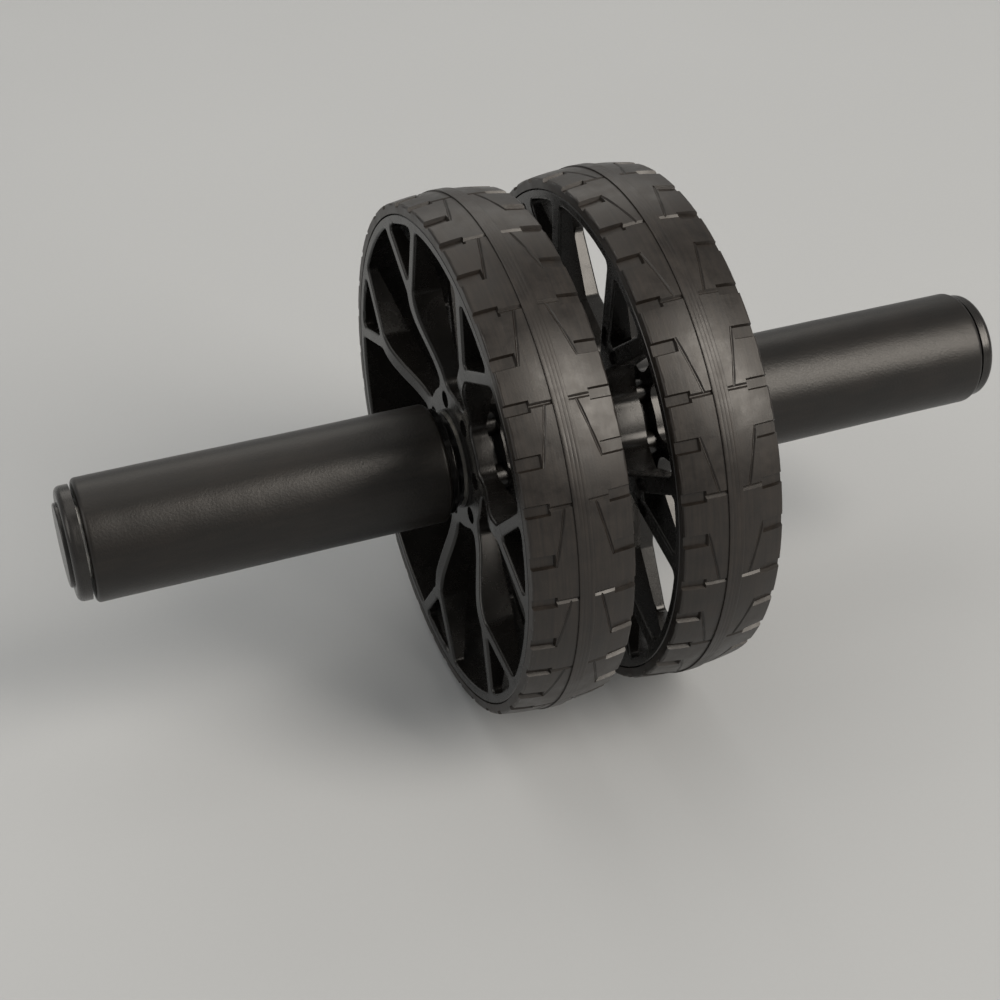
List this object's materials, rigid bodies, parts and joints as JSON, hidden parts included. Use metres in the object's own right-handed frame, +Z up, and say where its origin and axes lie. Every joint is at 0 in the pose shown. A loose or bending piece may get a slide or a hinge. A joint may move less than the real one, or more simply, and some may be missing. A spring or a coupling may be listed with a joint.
{
  "type": "ab wheel roller",
  "caption": "Abdominal exercise roller: wide spoked wheels with treaded rubber tyres spin freely side by side on a tubular axle that ends in foam hand grips.",
  "frame": {"origin": "middle of the axle, halfway between the two wheels, on the axle's axis", "axes": "+X along the axle towards the right grip, +Z up, +Y away from the viewer of the picture"},
  "size_m": [0.3382, 0.18, 0.18],
  "materials": {
    "steel": "plated",
    "washer_steel": "plated",
    "screw_steel": "blackened",
    "spacer_plastic": "gloss",
    "grip_foam": "matte foam",
    "cap_plastic": "gloss",
    "disc_plastic": "gloss",
    "collar_plastic": "gloss",
    "wheel_plastic": "satin",
    "bush_plastic": "satin",
    "tyre_rubber": "matte rubber"
  },
  "bodies": {
    "handlebar": {"axle_tube": "steel", "center_spacer": "spacer_plastic", "left_grip": "grip_foam", "left_end_cap": "cap_plastic", "left_cap_disc": "disc_plastic", "left_collar": "collar_plastic", "left_collar_pin": "steel", "left_outer_washer": "washer_steel", "left_inner_washer": "washer_steel", "right_grip": "grip_foam", "right_end_cap": "cap_plastic", "right_cap_disc": "disc_plastic", "right_collar": "collar_plastic", "right_collar_pin": "steel", "right_outer_washer": "washer_steel", "right_inner_washer": "washer_steel"},
    "left_wheel": {"left_outer_wheel_half": "wheel_plastic", "left_inner_wheel_half": "wheel_plastic", "left_tyre": "tyre_rubber", "left_hub_screws": "screw_steel", "left_outer_bush": "bush_plastic", "left_inner_bush": "bush_plastic"},
    "right_wheel": {"right_outer_wheel_half": "wheel_plastic", "right_inner_wheel_half": "wheel_plastic", "right_tyre": "tyre_rubber", "right_hub_screws": "screw_steel", "right_outer_bush": "bush_plastic", "right_inner_bush": "bush_plastic"}
  },
  "joints": [
    {"name": "left_wheel_spin", "type": "hinge", "parent": "handlebar", "child": "left_wheel", "pos_m": [-0.0252, 0, 0], "axis": [1, 0, 0], "continuous": true},
    {"name": "right_wheel_spin", "type": "hinge", "parent": "handlebar", "child": "right_wheel", "pos_m": [0.0252, 0, 0], "axis": [1, 0, 0], "continuous": true}
  ]
}
